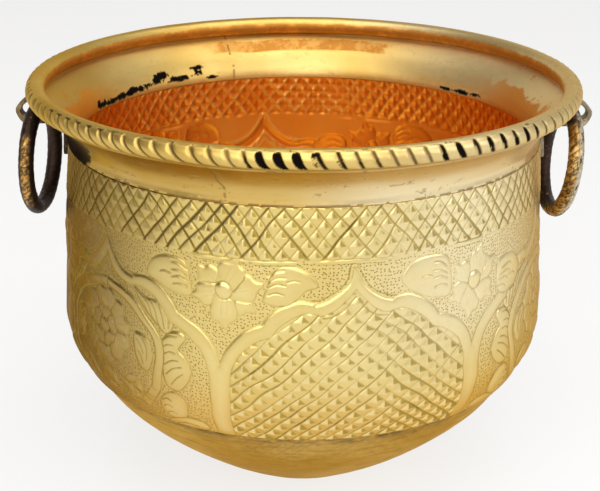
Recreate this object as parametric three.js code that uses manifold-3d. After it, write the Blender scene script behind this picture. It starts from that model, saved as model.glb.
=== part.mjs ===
// Round brass planter: an embossed sheet-metal tub with a rolled rope rim and two ring handles.
// Millimetres, +Z up. The origin is the centre of the flat base, on the floor.
// The handles lie on the X axis.

import * as THREE from 'three';
import { mergeVertices } from 'three/addons/utils/BufferGeometryUtils.js';
import Module from 'manifold-3d';

// Sheet and joints
const SHEET = 1.5; // thickness of all the brass sheet
const LAP_GAP = 0.3; // play between two lapped sheets
const NECK_LAP = 2.5; // how far the collar reaches down inside the wall
const SEAM_LAP = 6; // how far the dish reaches up inside the wall

// Base dish
const FLAT_RADIUS = 55.4; // flat disc that the planter stands on, to the middle of its soft corner
const FLAT_SOFTEN = 14; // how far the soft corner reaches each way
const SEAM_HEIGHT = 96.4; // crease between wall and dish
const BELLY_HEIGHT = 131.3; // level of the widest point of the wall
const BOWL_POWER = 1.78; // roundness of the bowl: 2 is a parabola
const SEAM_FADE = 28; // length over which the dish steps in under the wall

// Wall
const BELLY_INSET = 20.6; // widest part of the wall inside the rim's outermost reach
const NECK_INSET = 7.4; // wall's top edge inside its widest part
const WALL_TOP = 262.3;
const TAPER_POWER = 1.25; // how the wall draws in towards the neck

// Rim
const RIM_RADIUS = 200; // outermost reach of the rolled bead
const BEAD_RADIUS = 7.4;
const RIM_ABOVE_NECK = 37.7; // bead centre above the wall's top edge
const FLARE_START = 14; // how straight the collar leaves the neck
const FLARE_END = 14; // how straight it runs into the bead
const BEAD_ENTRY = -62; // angle on the bead, in degrees, where the collar runs into it
const EDGE_GAP = 0.3; // raw edge of the roll to the collar below it
const ROD_PLAY = 0.5; // between the rod and the rolled sheet

// Handle eyes
const EYE_WIDTH = 10; // width of the cast loop, along the rim
const EYE_OUTER = 11; // reach of the loop beyond the rim
const EYE_STRAP = 3.8; // thickness of the loop
const EYE_BELOW_RIM = 9.8; // top of the loop below the bead's centre
const EYE_SLOPE = 6.4; // fall of the loop's top on its way out
const EYE_ROOT = 8.5; // height of the loop's lower arm where it leaves the foot
const FOOT_WIDTH = 28; // foot plate, along the rim
const FOOT_THICK = 3.4;
const FOOT_ON_WALL = 17; // how far the foot reaches down over the wall
const FOOT_TOP_DROP = 9.4; // top of the foot below the bead's centre
const SEAT_GAP = 0.45; // foot to the sheet behind it, measured level

// Ring handles
const RING_RADIUS = 37.6; // to the middle of the bar
const BAR_RADIUS = 5.9;
const BAR_INSIDE_RIM = 5.8; // bar centre inside the rim's outermost reach
const BAR_DROP = 21; // bar centre below the bead's centre
const RING_TWIST = 6; // degrees that each hanging ring is turned about the vertical
const RING_SWING = { right: -6.6, left: 1.8 }; // degrees that each hangs out from the vertical
const BAR_PLAY = 0.45; // under the bar in the eye

// Facets
const AROUND = 60;
const BAR_SIDES = 12;
const RING_STEPS = 32;

const radians = THREE.MathUtils.degToRad;
const wasm = await Module();
wasm.setup();

// Levels that follow from the sizes above
const beadZ = WALL_TOP + RIM_ABOVE_NECK;
const beadR = RIM_RADIUS - BEAD_RADIUS;
const bellyRadius = RIM_RADIUS - BELLY_INSET;
const barX = RIM_RADIUS - BAR_INSIDE_RIM;
const barZ = beadZ - BAR_DROP;

// Geometry helpers

// Keeps only positions, merges shared corners, drops empty triangles and turns faces outward.
function tidy(geometry) {
  const bare = geometry.index ? geometry.toNonIndexed() : geometry.clone();
  bare.deleteAttribute('normal');
  bare.deleteAttribute('uv');
  const merged = mergeVertices(bare, 1e-4);
  const p = merged.attributes.position;
  const old = merged.index.array;
  const kept = [];
  const a = new THREE.Vector3();
  const b = new THREE.Vector3();
  const c = new THREE.Vector3();
  let volume = 0;
  for (let i = 0; i < old.length; i += 3) {
    const [u, v, w] = [old[i], old[i + 1], old[i + 2]];
    if (u === v || v === w || w === u) continue;
    kept.push(u, v, w);
    volume += a.fromBufferAttribute(p, u).dot(b.fromBufferAttribute(p, v).cross(c.fromBufferAttribute(p, w)));
  }
  if (volume < 0) {
    for (let i = 0; i < kept.length; i += 3) [kept[i], kept[i + 1]] = [kept[i + 1], kept[i]];
  }
  merged.setIndex(kept);
  return merged;
}

// A solid of revolution about Z from a list of [radius, height].
function turned(profile, closed) {
  const points = profile.map(([r, z]) => new THREE.Vector2(r, z));
  if (closed) points.push(points[0].clone());
  return tidy(new THREE.LatheGeometry(points, AROUND).rotateX(Math.PI / 2));
}

// Points of a line moved sideways by d, to the left of its direction.
function offset(line, d) {
  return line.map(([r, z], i) => {
    const [r0, z0] = line[Math.max(i - 1, 0)];
    const [r1, z1] = line[Math.min(i + 1, line.length - 1)];
    const long = Math.hypot(r1 - r0, z1 - z0);
    return [r - (z1 - z0) / long * d, z + (r1 - r0) / long * d];
  });
}

function toManifold(geometry) {
  const clean = tidy(geometry);
  return new wasm.Manifold(new wasm.Mesh({
    numProp: 3,
    vertProperties: new Float32Array(clean.attributes.position.array),
    triVerts: new Uint32Array(clean.index.array),
  }));
}

function fromManifold(solid) {
  const mesh = solid.getMesh();
  const geometry = new THREE.BufferGeometry();
  geometry.setAttribute('position', new THREE.BufferAttribute(new Float32Array(mesh.vertProperties), 3));
  geometry.setIndex(new THREE.BufferAttribute(new Uint32Array(mesh.triVerts), 1));
  return tidy(geometry);
}

// A flat outline in the XZ plane, given thickness along Y and centred on y = 0.
function slab(outline, width) {
  const shape = new THREE.Shape(outline.map(([x, z]) => new THREE.Vector2(x, z)));
  const geometry = new THREE.ExtrudeGeometry(shape, { depth: width, bevelEnabled: false });
  return geometry.rotateX(Math.PI / 2).translate(0, width / 2, 0);
}

// A smooth closed line through the points, cut into n pieces.
function smooth(points, n) {
  const curve = new THREE.CatmullRomCurve3(points.map(([x, z]) => new THREE.Vector3(x, z, 0)), true, 'centripetal');
  return curve.getSpacedPoints(n).slice(0, n).map((q) => [q.x, q.y]);
}

// Body outline

// Outer radius of the wall and bowl at height z.
function bodyRadius(z) {
  if (z >= BELLY_HEIGHT) {
    const t = (z - BELLY_HEIGHT) / (WALL_TOP - BELLY_HEIGHT);
    return bellyRadius - NECK_INSET * t ** TAPER_POWER;
  }
  const u = (BELLY_HEIGHT - z) / BELLY_HEIGHT;
  return FLAT_RADIUS + (bellyRadius - FLAT_RADIUS) * (1 - u ** BOWL_POWER);
}

function levels(from, to, n) {
  return Array.from({ length: n + 1 }, (_, i) => from + (to - from) * i / n);
}

// Wall: an open shell from the crease to the neck
const wallOuter = [
  ...levels(SEAM_HEIGHT, BELLY_HEIGHT, 4).slice(0, -1),
  ...levels(BELLY_HEIGHT, WALL_TOP, 6),
].map((z) => [bodyRadius(z), z]);
const wall = turned([...wallOuter, ...offset(wallOuter, SHEET).reverse()], true);

// Base dish: its upper edge laps inside the wall, below that it swells out to the wall's outline
const seamSlope = (bodyRadius(SEAM_HEIGHT + 1) - bodyRadius(SEAM_HEIGHT - 1)) / 2;
const seamStep = (SHEET + LAP_GAP) * Math.hypot(1, seamSlope);
function dishRadius(z) {
  const t = THREE.MathUtils.smoothstep(z, SEAM_HEIGHT - SEAM_FADE, SEAM_HEIGHT - 1);
  return bodyRadius(z) - seamStep * t;
}
const softZ = dishSlopeHeight(FLAT_SOFTEN);
function dishSlopeHeight(reach) {
  let z = 0;
  while (Math.hypot(dishRadius(z) - FLAT_RADIUS, z) < reach) z += 0.05;
  return z;
}
const corner = new THREE.QuadraticBezierCurve(
  new THREE.Vector2(FLAT_RADIUS - FLAT_SOFTEN, 0),
  new THREE.Vector2(FLAT_RADIUS, 0),
  new THREE.Vector2(dishRadius(softZ), softZ),
);
const dishLine = [
  [0, 0],
  ...corner.getPoints(4).map((q) => [q.x, q.y]),
  ...levels(softZ, SEAM_HEIGHT - SEAM_FADE, 6).slice(1, -1).map((z) => [dishRadius(z), z]),
  ...levels(SEAM_HEIGHT - SEAM_FADE, SEAM_HEIGHT - 1, 4).map((z) => [dishRadius(z), z]),
  [dishRadius(SEAM_HEIGHT + SEAM_LAP), SEAM_HEIGHT + SEAM_LAP],
];
const baseDish = turned([...dishLine, ...offset(dishLine, SHEET).reverse()], false);

// Collar: lap inside the wall, flare, then the roll round the rod
const lapRadius = (z) => bodyRadius(z) - SHEET - LAP_GAP - SHEET / 2;
const rollRadius = BEAD_RADIUS - SHEET / 2;
const entry = radians(BEAD_ENTRY);
const neck = new THREE.Vector2(lapRadius(WALL_TOP), WALL_TOP);
const joinBead = new THREE.Vector2(beadR + rollRadius * Math.cos(entry), beadZ + rollRadius * Math.sin(entry));
const flare = new THREE.CubicBezierCurve(
  neck,
  new THREE.Vector2(neck.x + 0.1 * FLARE_START, neck.y + FLARE_START),
  new THREE.Vector2(joinBead.x + Math.sin(entry) * FLARE_END, joinBead.y - Math.cos(entry) * FLARE_END),
  joinBead,
);
const flareLine = flare.getPoints(8).map((q) => [q.x, q.y]);

// The roll ends where its raw edge would come nearer to the collar than EDGE_GAP.
function clearOfFlare(angle) {
  const fine = flare.getPoints(80);
  for (const r of [BEAD_RADIUS, BEAD_RADIUS - SHEET]) {
    const q = new THREE.Vector2(beadR + r * Math.cos(angle), beadZ + r * Math.sin(angle));
    if (Math.min(...fine.map((f) => f.distanceTo(q))) < SHEET / 2 + EDGE_GAP) return false;
  }
  return true;
}
let rollEnd = Math.PI;
while (clearOfFlare(rollEnd + 0.01) && rollEnd < 2 * Math.PI + entry) rollEnd += 0.01;
const ROLL_STEPS = 12;
const rollLine = levels(entry, rollEnd, ROLL_STEPS).slice(1)
  .map((t) => [beadR + rollRadius * Math.cos(t), beadZ + rollRadius * Math.sin(t)]);
const collarLine = [
  [lapRadius(WALL_TOP - NECK_LAP), WALL_TOP - NECK_LAP],
  ...flareLine,
  ...rollLine,
];
const collarOuter = offset(collarLine, -SHEET / 2);
const collarInner = offset(collarLine, SHEET / 2);
const collar = turned([...collarOuter, ...collarInner.reverse()], true);

// Rim rod inside the roll
const rodRadius = BEAD_RADIUS - SHEET - ROD_PLAY;
const rod = turned(levels(0, 2 * Math.PI, 8).slice(0, -1)
  .map((t) => [beadR + rodRadius * Math.cos(t), beadZ + rodRadius * Math.sin(t)]), true);

// Handle eye: foot plate on the collar and the wall's top, with a cast loop

// Radius of the sheet behind the foot at height z.
const collarSkin = offset(flare.getPoints(40).map((q) => [q.x, q.y]), -SHEET / 2);
function seatRadius(z) {
  if (z <= WALL_TOP + SEAT_GAP) return bodyRadius(Math.min(z, WALL_TOP));
  const next = collarSkin.findIndex(([, h]) => h > z);
  if (next < 1) return collarSkin[next < 0 ? collarSkin.length - 1 : 0][0];
  const [r0, z0] = collarSkin[next - 1];
  const [r1, z1] = collarSkin[next];
  return Math.max(r0 + (r1 - r0) * (z - z0) / (z1 - z0), neck.x);
}
const footLow = WALL_TOP - FOOT_ON_WALL;
const footHigh = beadZ - FOOT_TOP_DROP;
const footLevels = [
  ...levels(footLow, WALL_TOP + SEAT_GAP, 2),
  ...levels(WALL_TOP + SEAT_GAP + 0.3, footHigh, 7),
];
const seat = footLevels.map((z) => [seatRadius(z) + SEAT_GAP, z]);
const cutter = toManifold(turned([
  [0, footLow - 20], [seat[0][0], footLow - 20], ...seat, [seat.at(-1)[0], beadZ], [0, beadZ],
], false));
const footBand = toManifold(turned([
  ...seat, ...seat.map(([r, z]) => [r + FOOT_THICK, z]).reverse(),
], true));

// Outline of the foot seen from outside: straight sides, rounded lower corners
function footOutline() {
  const half = FOOT_WIDTH / 2;
  const round = FOOT_WIDTH * 0.22;
  const shape = new THREE.Shape();
  shape.moveTo(-half, footHigh);
  shape.lineTo(-half, footLow + round);
  shape.quadraticCurveTo(-half, footLow, -half + round, footLow);
  shape.lineTo(half - round, footLow);
  shape.quadraticCurveTo(half, footLow, half, footLow + round);
  shape.lineTo(half, footHigh);
  const plate = new THREE.ExtrudeGeometry(shape, { depth: RIM_RADIUS, bevelEnabled: false, curveSegments: 3 });
  return plate.rotateX(Math.PI / 2).rotateZ(Math.PI / 2);
}

// Loop, as a section in the XZ plane
const loopX = RIM_RADIUS + EYE_OUTER;
const loopTop = beadZ - EYE_BELOW_RIM;
const loopLow = barZ - BAR_RADIUS - BAR_PLAY - EYE_STRAP - 0.5;
const rootX = seatRadius(WALL_TOP);
const holeLow = barZ - BAR_RADIUS - BAR_PLAY - 0.5;
const outerLine = smooth([
  [seatRadius(loopTop - 4) - 6, loopTop - 6],
  [seatRadius(loopTop - 2) + 3, loopTop - 0.5],
  [barX + 1, loopTop - 0.1],
  [barX + 7, loopTop - EYE_SLOPE * 0.38],
  [loopX - 4, loopTop - EYE_SLOPE],
  [loopX, loopTop - EYE_SLOPE - 5.6],
  [loopX - 1.2, loopTop - EYE_SLOPE - 10.6],
  [loopX - 5, loopLow - 0.6],
  [barX + 5.5, loopLow - 1.6],
  [barX - 1, loopLow - 1],
  [(barX + rootX) / 2, loopLow - 1.4],
  [rootX + 4, holeLow + 1.5 - EYE_ROOT],
  [rootX - 6, holeLow + 1 - EYE_ROOT],
  [rootX - 10, barZ],
], 40);
const holeLine = smooth([
  [seatRadius(loopTop - EYE_STRAP - 3.2) + FOOT_THICK + 0.9, loopTop - EYE_STRAP - 3.2],
  [barX - 3.6, loopTop - EYE_STRAP - 0.3],
  [barX + 2, loopTop - EYE_STRAP],
  [barX + 7, loopTop - EYE_STRAP - EYE_SLOPE * 0.34],
  [loopX - EYE_STRAP - 1.8, loopTop - EYE_SLOPE - 3.2],
  [loopX - EYE_STRAP, loopTop - EYE_SLOPE - 6.8],
  [loopX - EYE_STRAP - 1.4, holeLow + 1.9],
  [barX + 7, holeLow + 0.2],
  [barX, holeLow],
  [barX - 4.6, holeLow + 1.1],
  [barX - BAR_RADIUS - 2, barZ - 2.5],
  [barX - BAR_RADIUS - 3.2, barZ + 1.5],
], 32);

function handleEye() {
  const loop = toManifold(slab(outerLine, EYE_WIDTH)).subtract(cutter);
  const foot = footBand.intersect(toManifold(footOutline()));
  const hole = toManifold(slab(holeLine, FOOT_WIDTH * 2));
  return fromManifold(foot.add(loop).subtract(hole));
}

// Ring handle, hanging in its eye, in its own plane: ring axis along X, bar centre on the pivot
function ringHandle() {
  const ring = new THREE.TorusGeometry(RING_RADIUS, BAR_RADIUS, BAR_SIDES, RING_STEPS);
  return tidy(ring.rotateZ(Math.PI / 2).rotateY(Math.PI / 2).translate(0, 0, -RING_RADIUS));
}

// Assembly
const material = (color, roughness, metalness) => new THREE.MeshStandardMaterial({ color, roughness, metalness });
const polished = { color: 0xd8bd78, roughness: 0.28 };
const planter = new THREE.Group();

function place(name, geometry, color, roughness, metalness, parent = planter) {
  const mesh = new THREE.Mesh(geometry, material(color, roughness, metalness));
  mesh.name = name;
  parent.add(mesh);
  return mesh;
}

place('base_dish', baseDish, 0xc2a463, 0.34, 1);
place('wall', wall, polished.color, polished.roughness, 1);
place('collar', collar, 0xcfae62, 0.24, 1);
place('rim_wire', rod, 0x4a4644, 0.6, 1);

for (const [side, name] of [[1, 'right'], [-1, 'left']]) {
  const eye = place(`handle_eye_${name}`, handleEye(), 0x7a6236, 0.42, 1);
  if (side < 0) eye.rotation.z = Math.PI;
  const hook = new THREE.Group();
  hook.position.set(side * barX, 0, barZ);
  hook.rotation.set(0, -side * radians(RING_SWING[name]), side * radians(RING_TWIST), 'ZYX');
  planter.add(hook);
  place(`ring_handle_${name}`, ringHandle(), 0x5a4426, 0.38, 1, hook);
}

export default planter;
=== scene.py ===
# Brass planter. The embossed sheets, the roped rim, the cast eyes and the ring handles
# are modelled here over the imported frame. Metres, +Z up, the viewer on -Y.
import math

import bpy
import numpy as np
from mathutils import Matrix, Vector


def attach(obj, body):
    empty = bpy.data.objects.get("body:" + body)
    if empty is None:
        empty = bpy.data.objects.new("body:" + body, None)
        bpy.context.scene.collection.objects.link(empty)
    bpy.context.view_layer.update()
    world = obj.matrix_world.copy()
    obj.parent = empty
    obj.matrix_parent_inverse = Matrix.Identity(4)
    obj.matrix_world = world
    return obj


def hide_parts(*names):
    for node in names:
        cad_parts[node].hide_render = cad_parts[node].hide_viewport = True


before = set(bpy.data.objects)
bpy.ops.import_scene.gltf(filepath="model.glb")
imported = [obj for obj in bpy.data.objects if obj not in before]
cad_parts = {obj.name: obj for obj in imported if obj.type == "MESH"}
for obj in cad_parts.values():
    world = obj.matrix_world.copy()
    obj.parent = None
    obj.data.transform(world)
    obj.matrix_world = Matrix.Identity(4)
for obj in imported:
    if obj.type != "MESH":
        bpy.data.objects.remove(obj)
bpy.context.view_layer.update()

# Sizes in millimetres and turns in degrees, as the part's source has them or works them
# out. The rings' lean has 1 for the right side and -1 for the left.
SHEET = 1.5
FLAT_RADIUS = 55.4
FLAT_SOFTEN = 14.0
SEAM_HEIGHT = 96.4
SEAM_LAP = 6.0
LAP_GAP = 0.3
SEAM_FADE = 28.0
BELLY_HEIGHT = 131.3
BOWL_POWER = 1.78
BELLY_RADIUS = 179.4
NECK_INSET = 7.4
NECK_LAP = 2.5
WALL_TOP = 262.3
TAPER_POWER = 1.25
BEAD_RADIUS = 7.4
BEAD_CENTRE = (192.6, 300.0)
BEAD_ENTRY = -62.0
RING_RADIUS = 37.6
BAR_RADIUS = 5.9
BAR_X = 194.2
BAR_Z = 279.0
RING_TWIST = 6.0
RING_LEAN = {1: 6.6, -1: 1.8}

# The ornament is drawn on the wall unrolled at this radius, one hatched and one flowered
# arch wide. Its middle is the hatched arch's axis, ARCH_AT degrees right of the front.
UNROLL = 176.0
ARCH_AT = 11.1
PERIOD = 2 * math.pi / 3 * UNROLL
BETWEEN_ARCHES = PERIOD / 4
PILLAR_AT = 87.5
DRAWING_STEP = 0.5
DRAWING_FOOT = 60.0
DRAWING_TOP = 266.0
BAND_LOW = 227.5
BAND_HIGH = 262.4

# How finely the turned pieces are divided, and the cuts of the rope round the rim
WALL_COLUMNS = 1600
DISH_COLUMNS = 900
COLLAR_COLUMNS = 2200
GADROONS = 110


def ease(low, high, value):
    """0 below low, 1 above high, smooth between."""
    t = np.clip((np.asarray(value, float) - low) / (high - low), 0, 1)
    return t * t * (3 - 2 * t)


def within(value, rise, fall):
    """1 between the two fades, 0 outside them. Each fade is given from its 0 to its 1."""
    return ease(*rise, value) * ease(*fall, value)


def near(distance, width, power=2):
    """1 at distance 0, fading to nothing past width."""
    return np.exp(-(distance / width) ** power)


def wrap(angle):
    """Degrees brought into -180 to 180."""
    return (np.asarray(angle, float) + 180) % 360 - 180


def mottle(u, v, cells, rows, seed):
    """Soft random values from 0 to 1. u and v run from 0 to 1, and u closes on itself."""
    table = np.random.default_rng(seed).random((rows + 2, cells))
    x = (np.asarray(u, float) % 1) * cells
    y = np.clip(np.asarray(v, float), 0, 1) * rows
    i, j = np.floor(x).astype(int), np.floor(y).astype(int)
    fx, fy = x - i, y - j
    fx, fy = fx * fx * (3 - 2 * fx), fy * fy * (3 - 2 * fy)
    i0, i1 = i % cells, (i + 1) % cells
    low = table[j, i0] * (1 - fx) + table[j, i1] * fx
    high = table[j + 1, i0] * (1 - fx) + table[j + 1, i1] * fx
    return low * (1 - fy) + high * fy


def ragged(u, v, cells, rows, seed):
    """Three sizes of mottle together, for patches with torn edges."""
    return (
        mottle(u, v, cells, rows, seed) * 0.5
        + mottle(u, v, cells * 3, rows * 3, seed + 1) * 0.3
        + mottle(u, v, cells * 8, rows * 8, seed + 2) * 0.2
    )


def flow(points, closed=False, per=7):
    """A smooth line through the points."""
    p = np.array(points, float)
    n = len(p)
    out = []
    for i in range(n if closed else n - 1):
        a = p[(i - 1) % n] if closed or i else p[0]
        b, c = p[i], p[(i + 1) % n]
        d = p[(i + 2) % n] if closed or i < n - 2 else p[-1]
        for t in np.arange(per) / per:
            out.append(
                0.5 * (2 * b + (c - a) * t + (2 * a - 5 * b + 4 * c - d) * t**2
                       + (3 * b - a - 3 * c + d) * t**3)
            )
    if not closed:
        out.append(p[-1])
    return np.array(out)


# The sections of the sheets, all as (radius, height)
def body_radius(z):
    z = np.asarray(z, float)
    up = np.clip((z - BELLY_HEIGHT) / (WALL_TOP - BELLY_HEIGHT), 0, None)
    down = np.clip((BELLY_HEIGHT - z) / BELLY_HEIGHT, 0, None)
    wall = BELLY_RADIUS - NECK_INSET * up**TAPER_POWER
    bowl = FLAT_RADIUS + (BELLY_RADIUS - FLAT_RADIUS) * (1 - down**BOWL_POWER)
    return np.where(z >= BELLY_HEIGHT, wall, bowl)


def section_normals(points, closed=True):
    """Unit normals to the right of the section's way."""
    if closed:
        way = np.roll(points, -1, 0) - np.roll(points, 1, 0)
    else:
        way = np.gradient(points, axis=0)
    way /= np.linalg.norm(way, axis=1)[:, None] + 1e-12
    return np.stack([way[:, 1], -way[:, 0]], 1)


def spaced(points, gap):
    """The same line with points about gap apart."""
    p = np.array(points, float)
    run = np.concatenate([[0], np.cumsum(np.hypot(*np.diff(p, axis=0).T))])
    at = np.linspace(0, run[-1], max(2, int(round(run[-1] / gap)) + 1))
    return np.stack([np.interp(at, run, p[:, 0]), np.interp(at, run, p[:, 1])], 1)


def both_faces(outer, inner):
    """A closed section from its two faces, with 1 for the outer and -1 for the inner face."""
    face = np.concatenate([np.ones(len(outer)), -np.ones(len(inner))])[:, None]
    return np.concatenate([outer, inner]), face


def round_the_axis(section, columns):
    """Azimuth and height of every point of a turned piece."""
    return np.meshgrid(np.arange(columns) / columns * 360, section[:, 1])


def turned_piece(name, section, lift, marks, columns):
    """A closed body turned from a closed section, each point lifted along its normal."""
    rows = len(section)
    angle = np.arange(columns) / columns * 2 * math.pi
    normal = section_normals(section)
    radius = section[:, :1] + normal[:, :1] * lift
    height = section[:, 1:] + normal[:, 1:] * lift
    height = np.broadcast_to(height, (rows, columns))
    points = np.stack(
        [radius * np.sin(angle), -radius * np.cos(angle), height], -1
    ).reshape(-1, 3)
    i, j = np.meshgrid(np.arange(rows), np.arange(columns), indexing="ij")
    i1, j1 = (i + 1) % rows, (j + 1) % columns
    faces = np.stack(
        [i * columns + j, i * columns + j1, i1 * columns + j1, i1 * columns + j], -1
    ).reshape(-1, 4)
    return piece_from(name, points, faces, marks)


def piece_from(name, points, faces, marks):
    """A smooth-shaded mesh object from points in millimetres and four-cornered faces.

    Its marks are values from 0 to 1 on the points, which its finish reads.
    """
    mesh = bpy.data.meshes.new(name)
    mesh.vertices.add(len(points))
    mesh.vertices.foreach_set("co", (points * 0.001).astype(np.float32).ravel())
    mesh.loops.add(len(faces) * 4)
    mesh.loops.foreach_set("vertex_index", faces.astype(np.int32).ravel())
    mesh.polygons.add(len(faces))
    mesh.polygons.foreach_set("loop_start", np.arange(0, len(faces) * 4, 4, dtype=np.int32))
    mesh.update(calc_edges=True)
    mesh.polygons.foreach_set("use_smooth", np.ones(len(faces), bool))
    for mark, values in marks.items():
        layer = mesh.attributes.new(mark, "FLOAT", "POINT")
        layer.data.foreach_set("value", np.clip(values, 0, 1).astype(np.float32).ravel())
    piece = bpy.data.objects.new(name, mesh)
    bpy.context.scene.collection.objects.link(piece)
    return piece


class Ornament:
    """The embossed pattern as heights, chased lines and punched ground on a flat sheet."""

    def __init__(self):
        self.x = np.arange(-PERIOD / 2, PERIOD / 2, DRAWING_STEP)
        self.y = np.arange(DRAWING_FOOT, DRAWING_TOP, DRAWING_STEP)
        self.X, self.Y = np.meshgrid(self.x, self.y)
        self.height = np.full_like(self.X, -0.35)
        self.line = np.zeros_like(self.X)
        self.ground = np.ones_like(self.X)
        # bright holds a painted highlight on the upper left facets of the hatching
        self.bright = np.zeros_like(self.X)

    def window(self, points, margin):
        """The part of the drawing round these points, wrapped across the pattern's edge."""
        low, high = points.min(0) - margin, points.max(0) + margin
        columns = np.arange(int(math.floor((low[0] + PERIOD / 2) / DRAWING_STEP)),
                            int(math.ceil((high[0] + PERIOD / 2) / DRAWING_STEP)) + 1)
        if len(columns) > len(self.x):
            columns = np.arange(len(self.x))
        rows = np.where((self.y >= low[1]) & (self.y <= high[1]))[0]
        X, Y = np.meshgrid(columns * DRAWING_STEP - PERIOD / 2, self.y[rows])
        return np.ix_(rows, columns % len(self.x)), X, Y

    @staticmethod
    def distance(points, X, Y, closed=False):
        """Distance to a line, negative inside if it is closed."""
        nearest = np.full(X.shape, 1e9)
        inside = np.zeros(X.shape, bool)
        ends = np.roll(points, -1, 0) if closed else points[1:]
        for (ax, ay), (bx, by) in zip(points, ends):
            dx, dy = bx - ax, by - ay
            t = np.clip(((X - ax) * dx + (Y - ay) * dy) / (dx * dx + dy * dy + 1e-9), 0, 1)
            nearest = np.minimum(nearest, (X - ax - t * dx) ** 2 + (Y - ay - t * dy) ** 2)
            if closed:
                crosses = (ay > Y) != (by > Y)
                inside ^= crosses & (X < dx * (Y - ay) / (dy if dy else 1e-9) + ax)
        nearest = np.sqrt(nearest)
        return np.where(inside, -nearest, nearest) if closed else nearest

    def chase(self, points, depth=0.42, width=0.55, dark=1.0):
        """A line struck with a blunt chisel."""
        points = np.array(points, float)
        where, X, Y = self.window(points, 3)
        d = self.distance(points, X, Y)
        self.height[where] -= depth * near(d, width)
        self.line[where] = np.maximum(self.line[where], dark * near(d, 0.5))

    def boss(self, outlines, height=1.1, soft=2.4, edge=1.0, base=0.0):
        """A pillow raised inside one or more outlines taken together, chased round."""
        outlines = [np.array(outline, float) for outline in outlines]
        where, X, Y = self.window(np.concatenate(outlines), 4)
        d = np.full(X.shape, 9.0)
        for outline in outlines:
            low, high = outline.min(0) - 4, outline.max(0) + 4
            close = np.ix_((Y[:, 0] > low[1]) & (Y[:, 0] < high[1]),
                           (X[0] > low[0]) & (X[0] < high[0]))
            if X[close].size:
                d[close] = np.minimum(d[close],
                                      self.distance(outline, X[close], Y[close], True))
        inside = d < 0
        pillow = base + height * (1 - np.exp(np.minimum(d, 0) / soft))
        self.height[where] = np.where(inside, pillow, self.height[where])
        self.ground[where] = np.where(d < 0.9, 0, self.ground[where])
        self.line[where] = np.where(inside, 0, self.line[where])
        self.bright[where] = np.where(inside, 0, self.bright[where])
        self.height[where] -= 0.36 * edge * near(d, 0.8)
        self.line[where] = np.maximum(self.line[where], 0.75 * edge * near(d, 0.5))

    def hatch(self, region, rise, slope, height, notch, weights, width, squeeze=0.0):
        """Cells between two families of slanting lines, each with a corner punched in."""
        level = self.Y - squeeze * np.clip(self.Y - 100, 0, None) ** 2
        up = self.Y / DRAWING_TOP
        bend = mottle(self.X / PERIOD, up, 22, 14, 9) - 0.5
        p = (level - slope * self.X) / rise + 0.2 + 0.3 * bend
        q = (level + slope * self.X) / rise - 0.3 * bend
        fp, fq = p - np.floor(p), q - np.floor(q)
        cut = rise / math.hypot(1, slope)
        a, b = np.minimum(fp, 1 - fp) * cut, np.minimum(fq, 1 - fq) * cut
        rng = np.random.default_rng(8)
        at = np.floor(p).astype(int) % 64, np.floor(q).astype(int) % 64
        uneven = rng.random((64, 64))[at]
        # each cell is a low pyramid whose upper right facet is punched in
        cell = height * (2.4 * np.minimum(a, b) / cut) ** 0.85 * (0.8 + 0.3 * uneven)
        size = np.clip(notch * (0.86 + 0.24 * uneven), 0, 1)
        in_facet = ease(0.01, 0.06, fq - 0.5 - np.abs(fp - 0.5)) * (np.abs(fp - 0.5) < 0.42)
        punched = in_facet * ease(0.5 + 0.48 * size, 0.45 + 0.48 * size, fq) * (notch > 0.1)
        cell = cell - punched * 0.36 * height * (0.75 + 0.5 * uneven)
        # painted highlight on each cell's upper left facet
        upper_left_highlight = ease(0.0, 0.06, fp - 0.5 - np.abs(fq - 0.5)) * (notch > 0.1)
        # some lines were struck harder than others, and along part of their length only
        strike = [0.55 + 0.9 * mottle((n % 64) / 64, up, 64, 9, seed)
                  for n, seed in ((np.round(p), 3), (np.round(q), 4))]
        cuts = [weight * hard * near(d, width * hard)
                for weight, hard, d in zip(weights, strike, (a, b))]
        cell = cell - 0.32 * (cuts[0] + cuts[1])
        # the punched facets are darkened with the lines, as painted shade
        lines = np.maximum(np.maximum(*cuts), punched * (0.5 + 0.3 * uneven))
        self.height = np.where(region, cell - 0.3, self.height)
        self.bright = np.where(region, upper_left_highlight, self.bright)
        self.line = np.where(region, lines, self.line)
        self.ground = np.where(region, 0, self.ground)

    def read(self, field, x, y):
        """Values at any x and y, between the stored ones."""
        u = ((x + PERIOD / 2) % PERIOD) / DRAWING_STEP
        v = np.clip((y - self.y[0]) / DRAWING_STEP, 0, len(self.y) - 1.001)
        i, j = np.floor(u).astype(int), np.floor(v).astype(int)
        fu, fv = u - i, v - j
        n = len(self.x)
        i0, i1 = i % n, (i + 1) % n
        low = field[j, i0] * (1 - fu) + field[j, i1] * fu
        high = field[j + 1, i0] * (1 - fu) + field[j + 1, i1] * fu
        return low * (1 - fv) + high * fv


def placed(points, x, y=0.0, flip=1, size=1.0, tilt=0.0):
    """Points turned by tilt, mirrored for flip -1, sized and moved to x, y."""
    c, s = math.cos(math.radians(tilt)), math.sin(math.radians(tilt))
    return np.array([(x + flip * size * (c * px - s * py), y + size * (s * px + c * py))
                     for px, py in points])


def disc(x, y, rx, ry):
    return np.array([(x + rx * math.cos(a), y + ry * math.sin(a))
                     for a in np.arange(0, 6.28, 0.3)])


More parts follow.
